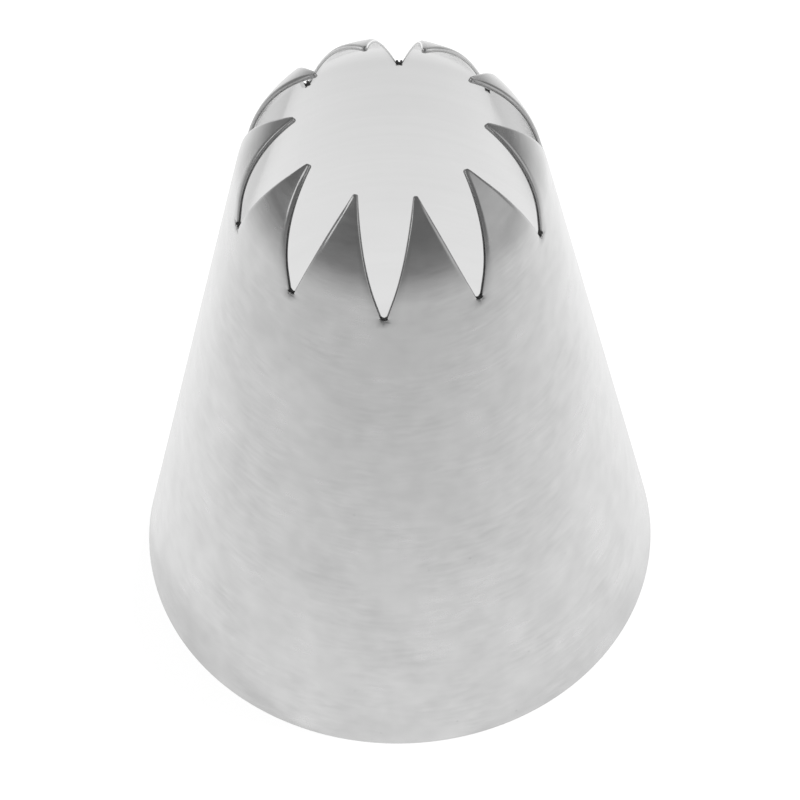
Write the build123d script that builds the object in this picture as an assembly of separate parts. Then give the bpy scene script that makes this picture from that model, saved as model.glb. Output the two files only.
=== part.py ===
from build123d import *
import math
import os

# An open star piping nozzle. It is one thin cone of stainless sheet, open at both ends.
# The small end is cut into pointed teeth, and the teeth curl inwards over the mouth.
# The nozzle stands on its wide end. The origin is the centre of that end, the axis is Z,
# the first notch faces -Y, and all lengths are in millimetres.

# The wide end, which rests on the table and fills the end of the bag: outside diameter
base_diameter = 34.0
# The level where the notches end and the teeth begin: outside diameter and height
notch_root_diameter = 20.44
notch_root_height = 38.65
# The sheet, and the rounding that deburring leaves on both edges of the wide end
sheet_thickness = 0.34
rim_rounding = 0.08

# The teeth: how many, their length along the outside of the sheet and their blunt tips
tooth_count = 10
tooth_length = 8.7
tooth_tip_width = 0.33
tip_corner_rounding = 0.08
# The curl: the stretch of each tooth that stays straight, then the radius on the outside
tooth_straight_length = 1.2
curl_radius = 9.7

# The notches: their width at the level of the roots, which sets the radius of the round end.
# The round end is a hair larger than one that only touches the sides, so that it joins them.
notch_root_width = 0.31
round_end_share = 1.01

# How far the notch tool reaches past the sheet on every side
cut_overrun = 1.0

# Places along a tooth where the shape of the notch tool is worked out, as shares of its path
notch_station_shares = (0, 0.1, 0.2, 0.32, 0.44, 0.56, 0.68, 0.8, 0.9, 1)

# No rounding takes more than this share of the edge that it rounds
rounding_limit_share = 0.4

base_radius = base_diameter / 2
notch_root_radius = notch_root_diameter / 2
cone_half_angle = math.atan2(base_radius - notch_root_radius, notch_root_height)
half_pitch_angle = math.pi / tooth_count
tooth_root_width = 2 * half_pitch_angle * notch_root_radius - notch_root_width


def sheet_at(distance):
    """Outside radius, height and tilt of the sheet at a distance above the notch roots."""
    straight = min(distance, tooth_straight_length)
    curled = distance - straight
    tilt = cone_half_angle + curled / curl_radius
    drawn_in = curl_radius * (math.cos(cone_half_angle) - math.cos(tilt))
    risen = curl_radius * (math.sin(tilt) - math.sin(cone_half_angle))
    radius = notch_root_radius - straight * math.sin(cone_half_angle) - drawn_in
    height = notch_root_height + straight * math.cos(cone_half_angle) + risen
    return radius, height, tilt


def section_point(distance, depth):
    """A point of the sheet's section, at a depth below its outside."""
    radius, height, tilt = sheet_at(distance)
    return radius - depth * math.cos(tilt), height - depth * math.sin(tilt)


def plain_shell():
    """The sheet before its notches are cut: a cone that curls inwards at its small end."""
    curl_middle = (tooth_straight_length + tooth_length) / 2
    rim_width = sheet_thickness / math.cos(cone_half_angle)
    outer_rim = (base_radius, 0)
    inner_rim = (base_radius - rim_width, 0)
    outer_curl = [section_point(s, 0) for s in (tooth_straight_length, curl_middle, tooth_length)]
    inner_curl = [section_point(s, sheet_thickness)
                  for s in (tooth_length, curl_middle, tooth_straight_length)]
    outline = [
        Line(outer_rim, outer_curl[0]),
        ThreePointArc(*outer_curl),
        Line(outer_curl[-1], inner_curl[0]),
        ThreePointArc(*inner_curl),
        Line(inner_curl[-1], inner_rim),
        Line(inner_rim, outer_rim),
    ]
    section = make_face(outline)
    rounding = min(rim_rounding, rounding_limit_share * rim_width)
    section = fillet(section.vertices().sort_by(Axis.Y)[:2], rounding)
    return revolve(Plane.XZ * section, Axis.Z)


def notch_half_angle(distance):
    """Half of a notch's opening as seen from the axis. The teeth are straight sided triangles."""
    radius = sheet_at(distance)[0]
    narrowing = (tooth_root_width - tooth_tip_width) / tooth_length
    tooth_width = tooth_root_width - narrowing * distance
    return half_pitch_angle - tooth_width / 2 / radius


def notch_tool_section(distance):
    """One slice of the notch tool, square to the sheet and wider than its thickness."""
    half_angle = notch_half_angle(distance)
    corners = []
    for side, depth in ((-1, -cut_overrun), (1, -cut_overrun),
                        (1, sheet_thickness + cut_overrun), (-1, sheet_thickness + cut_overrun)):
        radius, height = section_point(distance, depth)
        angle = side * half_angle
        corners.append((radius * math.sin(angle), -radius * math.cos(angle), height))
    return make_face(Polyline(*corners, close=True))


def notch_side_angle():
    """How far each side of a notch leans from the notch's middle line, near its closed end."""
    probe = notch_root_width
    half_width_there = notch_half_angle(probe) * sheet_at(probe)[0]
    return math.atan2(half_width_there - notch_root_width / 2, probe)


def notch_tool():
    """The space of the notch that faces -Y: a round closed end, then sides that run past the tips."""
    side_angle = notch_side_angle()
    round_radius = notch_root_width / 2 / math.tan((math.pi / 2 - side_angle) / 2)
    sides_start = round_radius * (1 - math.sin(side_angle))
    sides_length = tooth_length + cut_overrun - sides_start
    stations = [sides_start + share * sides_length for share in notch_station_shares]
    sides = loft([notch_tool_section(distance) for distance in stations])
    radius, height, tilt = sheet_at(round_radius)
    round_axis = Plane(
        origin=(0, -radius, height),
        x_dir=(1, 0, 0),
        z_dir=(0, -math.cos(tilt), math.sin(tilt)),
    )
    closed_end = Cylinder(
        round_radius * round_end_share,
        sheet_thickness + 2 * cut_overrun,
    )
    return sides + round_axis * closed_end


def tip_corner_edges(shell):
    """The two short edges through the sheet at each tooth's blunt end."""
    tip_place = section_point(tooth_length, sheet_thickness / 2)
    reach = rounding_limit_share * min(sheet_thickness, tooth_tip_width)
    found = ShapeList()
    for edge in shell.edges():
        middle = edge.center()
        place = (math.hypot(middle.X, middle.Y), middle.Z)
        if math.dist(place, tip_place) < reach:
            found.append(edge)
    return found


def nozzle_shell():
    """The whole nozzle: the curled cone, its notches and the eased corners of its tips."""
    tool = notch_tool()
    shell = plain_shell() - [place * tool for place in PolarLocations(0, tooth_count)]
    rounding = min(tip_corner_rounding, rounding_limit_share * tooth_tip_width)
    return fillet(tip_corner_edges(shell), rounding)


os.makedirs("parts", exist_ok=True)
shell = nozzle_shell()
export_step(shell, "parts/nozzle_shell.step")
print("overall height", round(sheet_at(tooth_length)[1], 3))
print("volume", round(shell.volume, 2))
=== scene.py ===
# %% [markdown]
# # An open star piping nozzle
#
# The real object is one sheet of stainless steel: a cone, open at both ends, whose small end is
# cut into ten pointed teeth that curl inwards. There is nothing to take apart, so this scene has
# one piece. All the work goes into the form of the sheet, its cut edges and its finish.
#
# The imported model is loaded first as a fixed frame. It says where the nozzle stands and how large
# it is, and everything below is made around it, in metres.

# %% Load the frame
import math

import bpy
from mathutils import Matrix, Vector


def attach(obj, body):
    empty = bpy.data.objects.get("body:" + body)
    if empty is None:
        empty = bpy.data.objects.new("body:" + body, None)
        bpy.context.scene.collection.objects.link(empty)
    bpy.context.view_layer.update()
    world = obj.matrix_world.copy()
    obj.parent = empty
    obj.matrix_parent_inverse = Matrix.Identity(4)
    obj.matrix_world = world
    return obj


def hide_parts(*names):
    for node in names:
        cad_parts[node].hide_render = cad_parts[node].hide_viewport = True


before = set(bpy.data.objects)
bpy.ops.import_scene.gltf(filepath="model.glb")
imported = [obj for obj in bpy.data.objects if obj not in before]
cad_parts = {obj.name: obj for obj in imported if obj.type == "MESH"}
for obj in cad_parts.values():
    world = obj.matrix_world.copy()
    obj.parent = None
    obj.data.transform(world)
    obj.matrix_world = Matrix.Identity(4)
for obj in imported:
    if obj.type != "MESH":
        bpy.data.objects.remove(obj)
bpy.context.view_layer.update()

# %% [markdown]
# ## The camera
#
# The camera comes first, because every later step is judged through it. It looks down at the
# nozzle from about 55 degrees through a very long lens, so that the cone hardly tapers with
# distance. It was fitted to the outline of the base, both sides, the tips and the notches, and
# it leans a little to one side, as a hand held camera does.

# %% Camera
camera_azimuth = math.radians(3.843)
camera_elevation = math.radians(54.794)
camera_lean = math.radians(-1.327)
camera_distance = 0.51
camera_target = Vector((0.00022385, 0.00001504, 0.0155646))

right = Vector((math.cos(camera_azimuth), math.sin(camera_azimuth), 0))
back = Vector((math.sin(camera_azimuth) * math.cos(camera_elevation),
               -math.cos(camera_azimuth) * math.cos(camera_elevation),
               math.sin(camera_elevation)))
up = back.cross(right)
turned_right = math.cos(camera_lean) * right + math.sin(camera_lean) * up
turned_up = math.cos(camera_lean) * up - math.sin(camera_lean) * right

bpy.ops.object.camera_add(location=camera_target + camera_distance * back)
camera = bpy.context.object
camera.rotation_euler = Matrix((turned_right, turned_up, back)).transposed().to_euler()
camera.data.sensor_width = 36
camera.data.lens = 347.365
camera.data.clip_start = 0.05
camera.data.clip_end = 20
bpy.context.scene.camera = camera
bpy.context.scene.view_settings.view_transform = "Standard"
print("camera at", [round(v, 3) for v in camera.location])

# %% [markdown]
# ## The sizes of the sheet
#
# A metal worker would draw the blank flat, cut it, curl the teeth and close the cone. The same
# few sizes drive all of that here. Distances along the sheet are counted from the closed ends of
# the notches, upwards to the tips and downwards to the wide end.

# %% Sizes
MM = 0.001
base_radius = 16.99 * MM
notch_root_radius = 10.22 * MM
notch_root_height = 38.65 * MM
sheet_thickness = 0.34 * MM
tooth_count = 10
tooth_length = 8.7 * MM
tooth_straight_length = 1.2 * MM
curl_radius = 9.7 * MM
notch_root_width = 0.31 * MM
tooth_tip_width = 0.24 * MM

cone_half_angle = math.atan2(base_radius - notch_root_radius, notch_root_height)
cone_length = math.hypot(base_radius - notch_root_radius, notch_root_height)
curl_angle = (tooth_length - tooth_straight_length) / curl_radius
half_pitch_angle = math.pi / tooth_count
tooth_root_width = 2 * half_pitch_angle * notch_root_radius - notch_root_width
print("cone leans", round(math.degrees(cone_half_angle), 2), "degrees, teeth curl",
      round(math.degrees(curl_angle), 1), "degrees more")

# %% [markdown]
# ## Small helpers
#
# Blender's operators act on whatever is selected and on the mode that is open. Each helper starts
# from a known state: object mode, with one piece selected. Vertices, edges and faces are picked
# by their place, never by a mouse, so that the script gives the same mesh each time.

# %% Helpers


def only(piece):
    """Back to object mode, with this piece selected and active and nothing else."""
    if bpy.context.mode != "OBJECT":
        bpy.ops.object.mode_set(mode="OBJECT")
    bpy.ops.object.select_all(action="DESELECT")
    piece.select_set(True)
    bpy.context.view_layer.objects.active = piece


def pick(piece, kind, wanted):
    """Opens the piece in edit mode with the wanted parts of its mesh selected, and counts them."""
    only(piece)
    bpy.ops.object.mode_set(mode="EDIT")
    bpy.ops.mesh.select_mode(type=kind)
    bpy.ops.mesh.select_all(action="DESELECT")
    bpy.ops.object.mode_set(mode="OBJECT")
    parts = {"VERT": piece.data.vertices, "EDGE": piece.data.edges, "FACE": piece.data.polygons}[kind]
    found = 0
    for part in parts:
        if wanted(part):
            part.select = True
            found += 1
    bpy.ops.object.mode_set(mode="EDIT")
    return found


def apply_modifier(piece, name):
    only(piece)
    bpy.ops.object.modifier_apply(modifier=name)


def settle(piece):
    """Moves the piece's place, turn and size into its mesh."""
    only(piece)
    bpy.ops.object.transform_apply(location=True, rotation=True, scale=True)


# %% [markdown]
# ## One pitch of the flat sheet
#
# The nozzle repeats itself ten times round, so only one pitch is drawn: a strip of sheet from the
# middle of one notch to the middle of the next, with one tooth on it. It could be cut from a full
# cone with a boolean, but that leaves ragged faces beside every cut, and bright metal shows them.
# A grid whose rows are narrowed to the tooth keeps every face a clean four sided one.
#
# The strip stands upright and faces -Y. Across, it is drawn at the size it has on the wide end,
# because closing the ring will later draw every row in by the same angle.

# %% Draw the strip
pitch_width = 2 * math.pi * base_radius / tooth_count
root_half = pitch_width / 2 - notch_root_width / 2 / notch_root_radius * base_radius
tooth_columns = 16
columns = tooth_columns + 2
cone_rows = 18
straight_rows = 5
curl_rows = 24
rows = cone_rows + straight_rows + curl_rows

for thing in list(bpy.context.selected_objects):
    thing.select_set(False)
bpy.ops.mesh.primitive_grid_add(x_subdivisions=columns, y_subdivisions=rows, size=2)
shell = bpy.context.object
shell.name = "nozzle_shell_sheet"
shell.scale = (root_half * columns / tooth_columns, 1, 1)
shell.rotation_euler = (math.pi / 2, 0, 0)
settle(shell)
print("strip:", len(shell.data.vertices), "vertices,", len(shell.data.polygons), "faces")

# %% [markdown]
# Each row now goes to its height. The rows are close together where the notches end and the curl
# begins, and far apart down the cone, which is straight in that direction. The wide end is left a
# little too long, to be sawn off level later.

# %% Place the rows
below_base = 0.3 * MM
row_crowding = 1.8


def row_distance(row):
    """How far above the notch roots a row of the grid lies, along the sheet."""
    if row <= cone_rows:
        share = (cone_rows - row) / cone_rows
        return -(cone_length + below_base) * share ** row_crowding
    if row <= cone_rows + straight_rows:
        return tooth_straight_length * (row - cone_rows) / straight_rows
    curled = (row - cone_rows - straight_rows) / curl_rows
    return tooth_straight_length + curled * (tooth_length - tooth_straight_length)


def row_of(vertex):
    return vertex.index // (columns + 1)


def column_of(vertex):
    return vertex.index % (columns + 1)


for row in range(rows + 1):
    pick(shell, "VERT", lambda vertex: row_of(vertex) == row)
    height_now = 2 * row / rows - 1
    bpy.ops.transform.translate(value=(0, 0, row_distance(row) - tooth_straight_length - height_now))
bpy.ops.object.mode_set(mode="OBJECT")
print("strip runs from", round(row_distance(0) / MM, 2), "to", round(row_distance(rows) / MM, 2), "mm")

# %% [markdown]
# The two outer columns move out to the middles of the notches, and every row above the notch
# roots is narrowed to the width of the tooth there. Flat, a tooth is a straight sided triangle
# with a blunt tip. The ring squeezes each row by the ratio of its radius to the base's, so the
# row is drawn wider by that much. The outermost column on each side keeps its width nearly all the
# way up, which leaves room to ease the edge along the cut and to round the tip.

# %% Cut the tooth
tip_corner_rounding = 0.095 * MM
edge_column = 0.2 * MM
edge_column_limit_share = 0.85


def sheet_radius(distance):
    """Outside radius of the finished nozzle at a distance above the notch roots."""
    straight = min(distance, tooth_straight_length)
    tilt = cone_half_angle + (distance - straight) / curl_radius
    drawn_in = curl_radius * (math.cos(cone_half_angle) - math.cos(tilt))
    return notch_root_radius - straight * math.sin(cone_half_angle) - drawn_in


def tooth_half(distance):
    """Half of the tooth's width at that distance, as drawn on the strip."""
    share = distance / tooth_length
    width = tooth_root_width + share * (tooth_tip_width - tooth_root_width)
    return width / 2 * base_radius / sheet_radius(distance)


outer_now = root_half * columns / tooth_columns
pick(shell, "VERT", lambda vertex: column_of(vertex) in (0, columns))
bpy.ops.transform.resize(value=(pitch_width / 2 / outer_now, 1, 1), center_override=(0, 0, 0))
for row in range(cone_rows + 1, rows + 1):
    distance = row_distance(row)
    half = tooth_half(distance)
    pick(shell, "VERT", lambda vertex: row_of(vertex) == row)
    bpy.ops.transform.resize(value=(half / root_half, 1, 1), center_override=(0, 0, 0))
    regular = (1 - 2 / tooth_columns) * half
    kept_clear = min(edge_column * base_radius / sheet_radius(distance), edge_column_limit_share * half)
    pick(shell, "VERT", lambda vertex: row_of(vertex) == row and 1 < column_of(vertex) < columns - 1)
    bpy.ops.transform.resize(value=(min(1, (half - kept_clear) / regular), 1, 1),
                             center_override=(0, 0, 0))
pick(shell, "FACE", lambda face: face.center.z > -tooth_straight_length
     and any(column_of(shell.data.vertices[i]) in (0, columns) for i in face.vertices))
bpy.ops.mesh.delete(type="FACE")
bpy.ops.object.mode_set(mode="OBJECT")
print("strip with its tooth:", len(shell.data.polygons), "faces")

# %% [markdown]
# ## Ten in a row
#
# An Array modifier sets ten strips side by side and welds the edges where they meet. That is the
# whole flat blank. The middle of a notch is at x = 0 and will end up facing the camera.

# %% Repeat the strip
weld_distance = 0.001 * MM

shell.location.x = -math.pi * base_radius + pitch_width / 2
settle(shell)
array = shell.modifiers.new("ten", "ARRAY")
array.count = tooth_count
array.use_relative_offset = False
array.use_constant_offset = True
array.constant_offset_displace = (pitch_width, 0, 0)
array.use_merge_vertices = True
array.merge_threshold = weld_distance
apply_modifier(shell, "ten")
print("blank:", len(shell.data.polygons), "faces,", [round(v / MM, 2) for v in shell.dimensions], "mm")

# %% [markdown]
# In the photograph the closed ends of the notches on the far side lie about half a millimetre
# higher along the sheet than those in front, so those notches are a little shallower. A vertex
# group holds how much each point shares in that, and a Displace modifier slides the points up the
# sheet by it. The tips stay where they are.

# %% Uneven notches
shallower_at_back = 0.48 * MM
fades_below = 4 * MM


def back_share(angle):
    """How much of the lift a place gets: none in front, all of it at the back, little at the sides."""
    return ((1 - math.cos(angle)) / 2) ** 2


group = shell.vertex_groups.new(name="shallower")
for vertex in shell.data.vertices:
    above_root = vertex.co.z + tooth_straight_length
    along = 1 - above_root / tooth_length if above_root > 0 else max(0, 1 + above_root / fades_below)
    group.add([vertex.index], max(0, back_share(vertex.co.x / base_radius) * along), "REPLACE")
slide = shell.modifiers.new("slide", "DISPLACE")
slide.direction = "Z"
slide.mid_level = 0
slide.strength = shallower_at_back
slide.vertex_group = "shallower"
apply_modifier(shell, "slide")
shell.vertex_groups.clear()
print("notches opposite are", round(shallower_at_back / MM, 2), "mm shallower")

# %% [markdown]
# ## Curl, lean, close
#
# Three bends make the nozzle, as in the workshop. The teeth are curled back over a round bar: a
# Simple Deform bend about X that only starts above the straight part. The whole sheet is leaned
# back by the cone's half angle. Then it is closed into a ring by a full turn of bend about Z.
# That last bend keeps each point's distance behind the front of the sheet, so the lean becomes
# the cone and the curl becomes the mouth, exactly.

# %% Bend the sheet
low = min(vertex.co.z for vertex in shell.data.vertices)
high = max(vertex.co.z for vertex in shell.data.vertices)
curl = shell.modifiers.new("curl", "SIMPLE_DEFORM")
curl.deform_method = "BEND"
curl.deform_axis = "X"
curl.angle = curl_angle
curl.limits = (-low / (high - low), 1)
apply_modifier(shell, "curl")

shell.rotation_euler = (-cone_half_angle, 0, 0)
straight_run = cone_length + tooth_straight_length
shell.location = (0, straight_run * math.sin(cone_half_angle), straight_run * math.cos(cone_half_angle))
settle(shell)

ring = shell.modifiers.new("ring", "SIMPLE_DEFORM")
ring.deform_method = "BEND"
ring.deform_axis = "Z"
ring.angle = 2 * math.pi
apply_modifier(shell, "ring")
shell.location = (0, -base_radius, 0)
settle(shell)
pick(shell, "VERT", lambda vertex: True)
bpy.ops.mesh.remove_doubles(threshold=weld_distance)
bpy.ops.object.mode_set(mode="OBJECT")
lowest_face = min(shell.data.polygons, key=lambda face: face.center.z)
facing = lowest_face.normal.dot(Vector((lowest_face.center.x, lowest_face.center.y, 0)))
print("ring:", [round(v / MM, 3) for v in shell.dimensions], "mm, faces point",
      "outwards" if facing > 0 else "inwards")

# %% [markdown]
# ## Thickness and the wide end
#
# Solidify gives the sheet its wall, inwards from the outside, and marks the inside and the cut
# edges with materials of their own. The wide end is then sawn off level with a bisect, and its
# two edges are bridged to the flat ring that the nozzle stands on.

# %% Give the sheet its thickness
OUTSIDE, INSIDE, CUT_EDGE, SHEARED_BAND, NOTCH_END = range(5)
# The torn edge and the sheared band get painted shade on the front teeth and painted light on the back
# ones.
for name in ("satin_steel_outside", "bright_steel_inside", "torn_steel_edge_painted_shading", "sheared_steel_band_painted_shading",
             "dark_notch_end"):
    shell.data.materials.append(bpy.data.materials.new(name))
wall = shell.modifiers.new("wall", "SOLIDIFY")
wall.thickness = sheet_thickness
wall.offset = -1
wall.use_even_offset = True
wall.use_quality_normals = True
wall.material_offset = INSIDE
wall.material_offset_rim = CUT_EDGE
apply_modifier(shell, "wall")

pick(shell, "FACE", lambda face: True)
bpy.ops.mesh.bisect(plane_co=(0, 0, 0), plane_no=(0, 0, 1), clear_inner=True)
bpy.ops.mesh.select_mode(type="EDGE")
bpy.ops.mesh.select_all(action="DESELECT")
bpy.ops.mesh.select_non_manifold()
bpy.ops.mesh.bridge_edge_loops()
bpy.ops.object.mode_set(mode="OBJECT")
for face in shell.data.polygons:
    if all(abs(shell.data.vertices[i].co.z) < weld_distance for i in face.vertices):
        face.material_index = CUT_EDGE
print("wall:", len(shell.data.polygons), "faces")

# %% [markdown]
# ## Round the notch ends and the tips
#
# The closed end of each notch is still square, and so are the tips. Beveling the short edges that
# run through the sheet there makes the notch ends round, as a punch leaves them, and makes each
# tip a small blunt point. The rounding stays a little under half of a notch's width. Taken all the
# way, it would leave edges of almost no length in the middle of each closed end.

# %% Round the corners
notch_corner_rounding = 0.44 * notch_root_width
length_play_share = 0.2
place_play = 0.09 * MM
tip_tilt = cone_half_angle + curl_angle
tip_height = (notch_root_height + tooth_straight_length * math.cos(cone_half_angle)
              + curl_radius * (math.sin(tip_tilt) - math.sin(cone_half_angle)))


def middle_of_sheet(radius, height, tilt):
    """Where the middle of the sheet lies, as radius and height, from a point on its outside."""
    return (radius - sheet_thickness / 2 * math.cos(tilt), height - sheet_thickness / 2 * math.sin(tilt))


def is_through_edge(edge, place, toward_tooth, offset_range, rise=0):
    """True for an edge through the sheet near that place, beside a notch's or tooth's middle."""
    a, b = (shell.data.vertices[i].co for i in edge.vertices)
    middle = (a + b) / 2
    if abs((a - b).length - sheet_thickness) > length_play_share * sheet_thickness:
        return False
    turn = math.atan2(middle.x, -middle.y)
    lifted = rise * back_share(turn)
    here = (math.hypot(middle.x, middle.y), middle.z - lifted)
    if math.dist(here, (place[0] - lifted * math.tan(cone_half_angle), place[1])) > place_play:
        return False
    angle = turn - toward_tooth
    offset = abs((angle + half_pitch_angle) % (2 * half_pitch_angle) - half_pitch_angle) * place[0]
    return offset_range[0] < offset < offset_range[1]


root_place = middle_of_sheet(notch_root_radius, notch_root_height, cone_half_angle)
beside_notch = (0.3 * notch_root_width, 0.6 * notch_root_width)
corners = pick(shell, "EDGE", lambda edge: is_through_edge(edge, root_place, 0, beside_notch,
                                                          shallower_at_back))
bpy.ops.mesh.bevel(offset=notch_corner_rounding, segments=5, affect="EDGES")
print("notch corners:", corners)

tip_place = middle_of_sheet(sheet_radius(tooth_length), tip_height, tip_tilt)
beside_tip = (0.45 * tooth_tip_width, 0.6 * tooth_tip_width)
corners = pick(shell, "EDGE", lambda edge: is_through_edge(edge, tip_place, half_pitch_angle, beside_tip))
bpy.ops.mesh.bevel(offset=tip_corner_rounding, segments=4, affect="EDGES")
print("tip corners:", corners)

# %% [markdown]
# ## Two bands on each cut
#
# A punch shears the first part of a sheet cleanly and tears through the rest. So the cut beside each
# tooth has two bands: a smooth bright one next to the outside and a dull torn one next to the inside.
# Dividing the ring of short edges that run through the sheet splits every cut face in two. All these
# cuts lie far above the wide end, so a level just over its rim tells them from the rim's own faces.

# %% Split the cut faces
rim_zone = 1 * MM


def edge_neighbours():
    """For each edge, the materials of the faces on it."""
    kinds = {}
    for face in shell.data.polygons:
        for key in face.edge_keys:
            kinds.setdefault(key, set()).add(face.material_index)
    return kinds


def is_above_base(edge):
    return shell.data.vertices[edge.vertices[0]].co.z > rim_zone


bpy.ops.object.mode_set(mode="OBJECT")
kinds = edge_neighbours()
through = pick(shell, "EDGE", lambda edge: kinds[edge.key] == {CUT_EDGE} and is_above_base(edge))
bpy.ops.mesh.subdivide_edgering(number_cuts=1, interpolation="LINEAR")
bpy.ops.object.mode_set(mode="OBJECT")
kinds = edge_neighbours()
sheared = [face for face in shell.data.polygons if face.material_index == CUT_EDGE
           and face.center.z > rim_zone and any(OUTSIDE in kinds[key] for key in face.edge_keys)]
for face in sheared:
    face.material_index = SHEARED_BAND
print("edges through the sheet:", through, "sheared faces:", len(sheared))

# %% [markdown]
# ## Roll the outer edges down
#
# Where a punch enters a sheet, it drags the skin down with it, so the outside slopes for the last
# fifth of a millimetre before a cut. In the photograph this slope is a thin light line along the
# left edges of the front teeth. A Displace modifier pushes the outer edge of every cut in along its
# normal, which points half outwards and half into the notch. The slope fades towards the tips.

# %% Roll the edges down
roll_depth = 0.08 * MM
roll_fades_over = 0.9 * MM
least_roll_share = 0.2

kinds = edge_neighbours()
rolled = shell.vertex_groups.new(name="rolled")
for edge in shell.data.edges:
    if kinds[edge.key] == {OUTSIDE, SHEARED_BAND}:
        for index in edge.vertices:
            below_tip = tip_height - shell.data.vertices[index].co.z
            rolled.add([index], min(1, max(least_roll_share, below_tip / roll_fades_over)), "REPLACE")
roll = shell.modifiers.new("roll", "DISPLACE")
roll.direction = "NORMAL"
roll.mid_level = 0
roll.strength = -roll_depth
roll.vertex_group = "rolled"
apply_modifier(shell, "roll")
shell.vertex_groups.clear()
print("outer edges rolled down by", round(roll_depth / MM, 3), "mm")

# %% [markdown]
# ## Ease the cut edges
#
# Real sheet is never knife sharp either. Polishing rounds the outer edge of every cut a little, and
# the inner edge keeps only a hair of rounding. These narrow strips turn through many directions in
# a very short way, so they catch a line of light or dark along each tooth. The wide end has both of
# its edges eased the same amount.
#
# The closed ends of the notches are nearly black in the photograph, all through the sheet, so
# their cut faces and the eased strips round their outer side get a material of their own. The
# strips carry the material of the skin by then, and are told from it by how small their faces are.
#
# Last, edges that turn by less than 50 degrees are shaded smooth. Weighted normals keep the broad
# faces even right up to the narrow strips.

# %% Ease the edges
rim_easing = 0.08 * MM
outer_easing = 0.05 * MM
inner_easing = 0.03 * MM
closed_end_reach = 0.12 * MM
strip_face_area = 0.004 * MM * MM
smooth_below = math.radians(50)


def ease(skin, cut, above_base, width, segments):
    """Bevels the edges where a cut meets the outside or inside skin, and gives them that skin."""
    bpy.ops.object.mode_set(mode="OBJECT")
    kinds = edge_neighbours()
    found = pick(shell, "EDGE", lambda edge: kinds[edge.key] == {skin, cut}
                 and is_above_base(edge) == above_base)
    bpy.ops.mesh.bevel(offset=width, segments=segments, affect="EDGES", material=skin)
    bpy.ops.object.mode_set(mode="OBJECT")
    print("eased", found, "edges by", round(width / MM, 3), "mm")


ease(OUTSIDE, CUT_EDGE, False, rim_easing, 3)
ease(INSIDE, CUT_EDGE, False, rim_easing, 3)
ease(OUTSIDE, SHEARED_BAND, True, outer_easing, 3)
ease(INSIDE, CUT_EDGE, True, inner_easing, 2)

closed_ends = 0
for face in shell.data.polygons:
    turn = math.atan2(face.center.x, -face.center.y)
    above_root = face.center.z - notch_root_height - shallower_at_back * back_share(turn)
    is_cut = face.material_index in (CUT_EDGE, SHEARED_BAND)
    is_strip = face.material_index == OUTSIDE and face.area < strip_face_area
    if (is_cut or is_strip) and abs(above_root) < closed_end_reach:
        face.material_index = NOTCH_END
        closed_ends += 1
print("faces in the closed ends of the notches:", closed_ends)

only(shell)
bpy.ops.object.shade_smooth_by_angle(angle=smooth_below)
weighted = shell.modifiers.new("weighted", "WEIGHTED_NORMAL")
weighted.keep_sharp = True
apply_modifier(shell, "weighted")
print("shell:", len(shell.data.vertices), "vertices,", len(shell.data.polygons), "faces,",
      [round(v / MM, 3) for v in shell.dimensions], "mm")

# %% [markdown]
# ## Say what the piece is
#
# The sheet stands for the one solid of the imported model, and moves with its one body.

# %% Ride and replace
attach(shell, "root")
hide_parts("nozzle_shell")

# %% [markdown]
# ## The satin outside
#
# The outside was polished with the nozzle spinning, so every mark on it runs round the cone. The
# marks are soft and short, about a third of a millimetre apart and a millimetre long, and stronger
# in some patches than in others. A noise on Object coordinates becomes such marks when it is
# squeezed along Z and hardly at all in X and Y. It drives three things: a bump that tilts the surface
# up and down by a fraction of a degree, the roughness, and a very small change of tone. A slow, even
# noise adds the faint clouds of handling, and a Voronoi texture a few tiny dark specks.
#
# A noise texture gives values round 0.5 and seldom leaves the range from 0.3 to 0.7. Most of the
# patterns below stretch that range to the tones or the roughness that they need.

# %% Material helpers
NOISE_RANGE = (0.3, 0.7)


def steel_nodes(material):
    """The node tree of a bare metal material, its shader, and its Object coordinates."""
    material.use_nodes = True
    tree = material.node_tree
    shader = tree.nodes["Principled BSDF"]
    shader.inputs["Metallic"].default_value = 1
    place = tree.nodes.new("ShaderNodeTexCoord").outputs["Object"]
    return tree, shader, place


def noise(tree, place, cycles_per_mm, detail=2.0, seed=(0, 0, 0)):
    """Noise with its own number of cycles per millimetre along X, Y and Z."""
    mapping = tree.nodes.new("ShaderNodeMapping")
    mapping.inputs["Scale"].default_value = [cycles / MM for cycles in cycles_per_mm]
    mapping.inputs["Location"].default_value = seed
    texture = tree.nodes.new("ShaderNodeTexNoise")
    texture.inputs["Scale"].default_value = 1
    texture.inputs["Detail"].default_value = detail
    tree.links.new(place, mapping.inputs["Vector"])
    tree.links.new(mapping.outputs["Vector"], texture.inputs["Vector"])
    return texture.outputs["Fac"]


def spread(tree, value, low, high, out_low, out_high):
    """Stretches the part of a value between low and high to a new range."""
    node = tree.nodes.new("ShaderNodeMapRange")
    for name, number in zip(("From Min", "From Max", "To Min", "To Max"), (low, high, out_low, out_high)):
        node.inputs[name].default_value = number
    tree.links.new(value, node.inputs["Value"])
    return node.outputs["Result"]


def sums(tree, kind, a, b):
    """A Math node. Each side is a socket or a number."""
    node = tree.nodes.new("ShaderNodeMath")
    node.operation = kind
    for socket, side in zip(node.inputs, (a, b)):
        if isinstance(side, (int, float)):
            socket.default_value = side
        else:
            tree.links.new(side, socket)
    return node.outputs["Value"]


def bump(tree, shader, height, depth):
    """Tilts the shading by a height pattern of that depth, in metres."""
    node = tree.nodes.new("ShaderNodeBump")
    node.inputs["Strength"].default_value = 1
    node.inputs["Distance"].default_value = depth
    tree.links.new(height, node.inputs["Height"])
    tree.links.new(node.outputs["Normal"], shader.inputs["Normal"])


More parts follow.
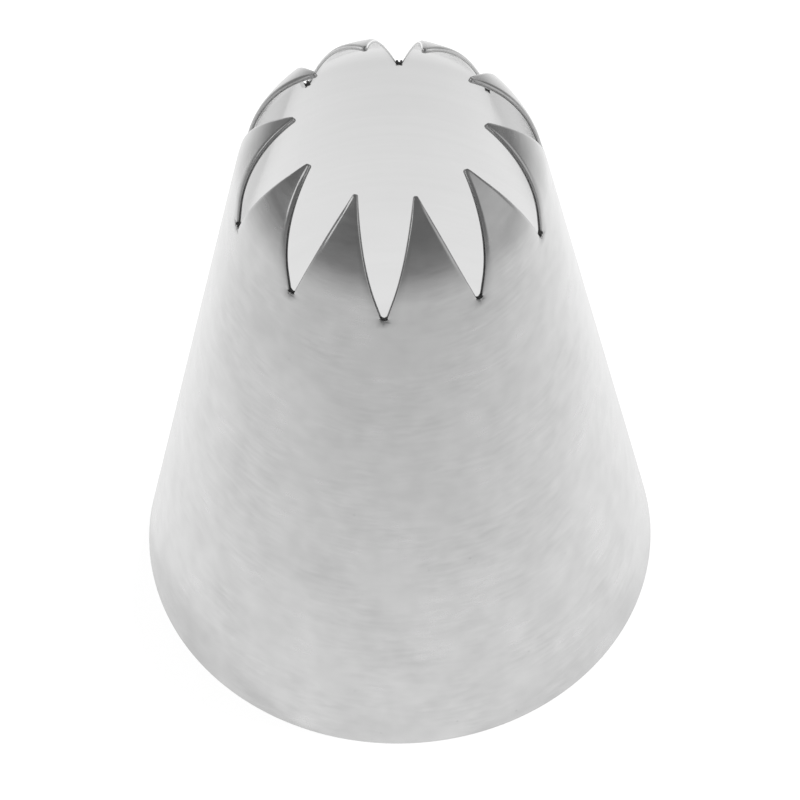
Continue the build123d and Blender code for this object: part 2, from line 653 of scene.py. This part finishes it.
# %% The outside
tree, shader, place = steel_nodes(shell.data.materials[OUTSIDE])
short_marks = noise(tree, place, (0.8, 0.8, 3.0), detail=1)
long_marks = noise(tree, place, (0.25, 0.25, 1.5), detail=1, seed=(3, 7, 1))
blotches = noise(tree, place, (0.7, 0.7, 0.7), detail=1, seed=(6, 3, 3))
clouds = noise(tree, place, (0.26, 0.26, 0.16), detail=3, seed=(5, 2, 9))
patches = noise(tree, place, (0.25, 0.25, 0.25), detail=1, seed=(1, 1, 4))

marks = sums(tree, "ADD", spread(tree, short_marks, 0.25, 0.75, -0.7, 0.7),
             spread(tree, long_marks, 0.25, 0.75, -0.4, 0.4))
marks = sums(tree, "MULTIPLY", marks, spread(tree, patches, 0.35, 0.65, 0.2, 1))

speck_cells_per_mm = 0.5
speck_core = 0.015
speck_border = 0.045
speck_darkening = 0.12
specks = tree.nodes.new("ShaderNodeTexVoronoi")
specks.inputs["Scale"].default_value = speck_cells_per_mm / MM
tree.links.new(place, specks.inputs["Vector"])
speck_tone = spread(tree, specks.outputs["Distance"], speck_core, speck_border, -speck_darkening, 0)

tone = sums(tree, "ADD", sums(tree, "MULTIPLY", marks, 0.045),
            spread(tree, clouds, *NOISE_RANGE, 0.66, 0.75))
tone = sums(tree, "ADD", tone, spread(tree, blotches, *NOISE_RANGE, -0.02, 0.02))
tree.links.new(sums(tree, "ADD", tone, speck_tone), shader.inputs["Base Color"])
rough = sums(tree, "ADD", sums(tree, "MULTIPLY", marks, 0.04),
             spread(tree, clouds, *NOISE_RANGE, 0.22, 0.27))
tree.links.new(rough, shader.inputs["Roughness"])
bump(tree, shader, marks, 0.002 * MM)
print("outside:", len(tree.nodes), "nodes")

# %% [markdown]
# ## The bright inside
#
# The inside was never brushed. It keeps the smooth skin of the rolled sheet, slightly blurred, so
# it mirrors the white table below it almost evenly. Only very slow clouds and a few faint rings
# from the drawing tool break it.

# %% The inside
tree, shader, place = steel_nodes(shell.data.materials[INSIDE])
rings = noise(tree, place, (0.05, 0.05, 1.6), detail=2, seed=(1, 4, 2))
clouds = noise(tree, place, (0.22, 0.22, 0.22), detail=3, seed=(8, 3, 6))
tone = sums(tree, "ADD", spread(tree, clouds, *NOISE_RANGE, 0.68, 0.70),
            spread(tree, rings, *NOISE_RANGE, -0.006, 0.006))
tree.links.new(tone, shader.inputs["Base Color"])
tree.links.new(spread(tree, clouds, *NOISE_RANGE, 0.09, 0.15), shader.inputs["Roughness"])
bump(tree, shader, rings, 0.003 * MM)
print("inside:", len(tree.nodes), "nodes")

# %% [markdown]
# ## The cut edges
#
# The torn band is full of tiny ridges, so it scatters light more than the skin does and looks much
# darker. The sheared band was rubbed smooth by the punch and is nearly as bright as the skin. Both
# get painted shade on the front teeth and painted light on the far side, so their tone changes
# slowly along Y. A fine noise varies it a little from place to place, together with the roughness
# and the bump. The closed ends are the darkest of all.
#
# Each row of the table below gives a material slot, the cycles of its grain per millimetre along X,
# Y and Z, its painted tone on the shaded front teeth and on the lit back teeth, the range of its
# roughness, and the depth of its grain in millimetres.

# %% The cut edges
# Painted shade and light on the cuts: their tone runs from dark at the front Y below to light at the back
# Y.
painted_shade_front_y = -6 * MM
painted_light_back_y = 6 * MM
cut_finishes_and_painted_shading = (
    (CUT_EDGE, (9, 9, 9), (0.20, 0.78), (0.38, 0.48), 0.004),
    (SHEARED_BAND, (5, 5, 5), (0.48, 0.88), (0.13, 0.19), 0.0005),
    (NOTCH_END, (9, 9, 9), (0.22, 0.22), (0.45, 0.55), 0.004),
)
for slot, cycles, shade_to_light_tones, roughness, depth in cut_finishes_and_painted_shading:
    tree, shader, place = steel_nodes(shell.data.materials[slot])
    grain = noise(tree, place, cycles, detail=2, seed=(2, 2, 5))
    parts = tree.nodes.new("ShaderNodeSeparateXYZ")
    tree.links.new(place, parts.inputs["Vector"])
    # Painted shade in front and painted light at the back: the tone runs along Y from dark to light.
    tone = spread(tree, parts.outputs["Y"], painted_shade_front_y, painted_light_back_y, *shade_to_light_tones)
    uneven = spread(tree, grain, *NOISE_RANGE, 0.88, 1.12)
    tree.links.new(sums(tree, "MULTIPLY", tone, uneven), shader.inputs["Base Color"])
    tree.links.new(spread(tree, grain, *NOISE_RANGE, *roughness), shader.inputs["Roughness"])
    bump(tree, shader, grain, depth * MM)
    print(shell.data.materials[slot].name, len(tree.nodes), "nodes")

# %% [markdown]
# ## The table
#
# Metal has hardly any colour of its own. What it shows is its surroundings, so those have to be
# right. The nozzle stands on a white table that glows softly around it and fades with distance.
# The cone leans back, so it mirrors the table. The curled teeth face up and mirror the dim room.
#
# The floor is a plain white surface that is lit by the lamps and keeps the nozzle's shadow. It lies
# a hair below the rim, so that the two flat faces don't share one plane. The glow is added for the
# rays of the camera and for those that the metal sends out. For these rays the white itself is much
# darker, so they see less of the lamps' light.
#
# The glow is a little stronger inside the ring that the nozzle stands on, where the bright walls
# throw light back, and a little weaker close around the foot, where the nozzle stands in the way of
# some of the room's light. Inside the ring only the glow is kept. The small lamps would shine
# through the star shaped mouth and draw bright spots there, and the photograph's inner wall mirrors
# an even table.

# %% Table
table_side = 8
gap_below_rim = 0.02 * MM
only(shell)
shell.select_set(False)
bpy.ops.mesh.primitive_plane_add(size=table_side, location=(0, 0, 0))
floor = bpy.context.object
floor.name = "white_table"
floor.location.z = -gap_below_rim

glow_middle = 32 * MM
glow_reach = 71 * MM
glow_sharpness = 1.7
glow_near = 0.99
glow_far = 0.06
ring_reach = 15.5 * MM
ring_sharpness = 24
ring_gain = 0.185
foot_reach = 23 * MM
foot_sharpness = 8
foot_loss = 0.03
seen_by_camera = 0.88
darker_white = 0.22
plain_white = 0.8
floor_material = bpy.data.materials.new("white_table")
floor_material.use_nodes = True
tree = floor_material.node_tree
tree.nodes.clear()
place = tree.nodes.new("ShaderNodeTexCoord").outputs["Object"]


def fading(tree, place, middle, reach, power, near, far):
    """A value that is near at the middle and fades to far well past the reach."""
    offset = tree.nodes.new("ShaderNodeVectorMath")
    offset.operation = "SUBTRACT"
    offset.inputs[1].default_value = (0, middle, 0)
    tree.links.new(place, offset.inputs[0])
    length = tree.nodes.new("ShaderNodeVectorMath")
    length.operation = "LENGTH"
    tree.links.new(offset.outputs["Vector"], length.inputs[0])
    share = sums(tree, "POWER", sums(tree, "DIVIDE", length.outputs["Value"], reach), power)
    return sums(tree, "ADD", sums(tree, "DIVIDE", near - far, sums(tree, "ADD", share, 1)), far)


rays = tree.nodes.new("ShaderNodeLightPath")
seen_by_metal = fading(tree, place, glow_middle, glow_reach, glow_sharpness, glow_near, glow_far)
under_nozzle = fading(tree, place, 0, ring_reach, ring_sharpness, ring_gain, 0)
beside_foot = fading(tree, place, 0, foot_reach, foot_sharpness, -foot_loss, 0)
seen_by_metal = sums(tree, "ADD", seen_by_metal, sums(tree, "ADD", under_nozzle, beside_foot))
glow_strength = sums(tree, "MAXIMUM", seen_by_metal,
                     sums(tree, "MULTIPLY", rays.outputs["Is Camera Ray"], seen_by_camera))
glow = tree.nodes.new("ShaderNodeEmission")
tree.links.new(glow_strength, glow.inputs["Strength"])
lit = tree.nodes.new("ShaderNodeBsdfDiffuse")
outside_ring = fading(tree, place, 0, ring_reach, ring_sharpness, 0, darker_white)
tree.links.new(outside_ring, lit.inputs["Color"])
glowing = tree.nodes.new("ShaderNodeAddShader")
tree.links.new(glow.outputs["Emission"], glowing.inputs[0])
tree.links.new(lit.outputs["BSDF"], glowing.inputs[1])
plain = tree.nodes.new("ShaderNodeBsdfDiffuse")
plain.inputs["Color"].default_value = (plain_white, plain_white, plain_white, 1)
shows_glow = sums(tree, "MAXIMUM", rays.outputs["Is Camera Ray"],
                  sums(tree, "MAXIMUM", rays.outputs["Is Glossy Ray"], rays.outputs["Is Transmission Ray"]))
choice = tree.nodes.new("ShaderNodeMixShader")
tree.links.new(shows_glow, choice.inputs[0])
tree.links.new(plain.outputs["BSDF"], choice.inputs[1])
tree.links.new(glowing.outputs["Shader"], choice.inputs[2])
out = tree.nodes.new("ShaderNodeOutputMaterial")
tree.links.new(choice.outputs["Shader"], out.inputs["Surface"])
floor.data.materials.append(floor_material)
print("table: glow fades past", glow_reach / MM, "mm")

# %% [markdown]
# ## The room and the lamps
#
# The room is a plain dim grey, a little lighter towards the horizon, which is what the curled
# teeth and the closed ends of the notches mirror in the photograph. Straight behind the nozzle
# stands a low pale backdrop. It hardly changes the front view, but it brightens the cone when that
# is seen from the back. The camera itself sees an even white all round.
#
# Two lamps hang almost straight above and behind the nozzle. They light the table at a plain level
# and throw the two short shadows that darken the foot of the cone left and right. They are small,
# because the mirrored border of the left shadow is sharp in the photograph: it is about half a
# millimetre wide, although the top of the nozzle that throws it is some 40 mm above the table. The
# left lamp is weaker and wider, since the shadow on the right is fainter.
#
# One soft panel stands low and close on the right, and the curled teeth on that side mirror it.
# From far away it left a dark gap in them, between the end of the table's glow and its own edge. A
# narrow bright strip light stands in front on the left. The faces of the teeth catch very little of
# it, but the rolled edges turn far enough to mirror it, and it draws thin light lines along them.

# %% Room
horizon_tone = 0.27
ceiling_tone = 0.165
backdrop_glow = 0.6
world = bpy.data.worlds.new("room")
bpy.context.scene.world = world
world.use_nodes = True
tree = world.node_tree
direction = tree.nodes.new("ShaderNodeTexCoord").outputs["Generated"]
parts = tree.nodes.new("ShaderNodeSeparateXYZ")
tree.links.new(direction, parts.inputs["Vector"])
room_tone = spread(tree, parts.outputs["Z"], 0, 0.26, horizon_tone, ceiling_tone)
backdrop = sums(tree, "MULTIPLY", spread(tree, parts.outputs["Y"], 0.72, 0.95, 0, backdrop_glow),
                spread(tree, parts.outputs["Z"], 0.2, 0.5, 1, 0))
rays = tree.nodes.new("ShaderNodeLightPath")
for_metal = sums(tree, "MAXIMUM", rays.outputs["Is Glossy Ray"], rays.outputs["Is Transmission Ray"])
seen = sums(tree, "ADD", room_tone, sums(tree, "MULTIPLY", backdrop, for_metal))
seen = sums(tree, "MAXIMUM", seen, rays.outputs["Is Camera Ray"])
tree.links.new(seen, tree.nodes["Background"].inputs["Color"])
print("room: tone", horizon_tone, "at the horizon,", ceiling_tone, "above")

# %% Lamps
lamp_aim = Vector((0, 0, 20 * MM))


def lamp(name, azimuth, elevation, distance, size, radiance=None, watts=None):
    """A rectangular lamp that faces the nozzle. Azimuth 0 is towards the camera, 90 to its right."""
    a, e = math.radians(azimuth), math.radians(elevation)
    away = Vector((math.sin(a) * math.cos(e), -math.cos(a) * math.cos(e), math.sin(e)))
    bpy.ops.object.light_add(type="AREA", location=distance * away + lamp_aim)
    made = bpy.context.object
    made.name = name
    made.rotation_euler = away.to_track_quat("Z", "Y").to_euler()
    made.data.shape = "RECTANGLE"
    made.data.size, made.data.size_y = size
    made.data.energy = watts if watts else radiance * math.pi * size[0] * size[1]
    made.visible_camera = False
    return made


overhead_elevation = 77
overhead_distance = 0.9
for name, azimuth, size, watts in (("lamp_right_back", 126, 0.012, 5.0),
                                   ("lamp_left_back", -126, 0.03, 2.9)):
    overhead = lamp(name, azimuth, overhead_elevation, overhead_distance, (size, size), watts=watts)
    overhead.visible_glossy = False
lamp("soft_panel_right", 77, 18, 0.25, (0.2, 0.22), radiance=0.33)
lamp("strip_light_left", -64, 30, 1.2, (0.42, 0.9), radiance=0.85)
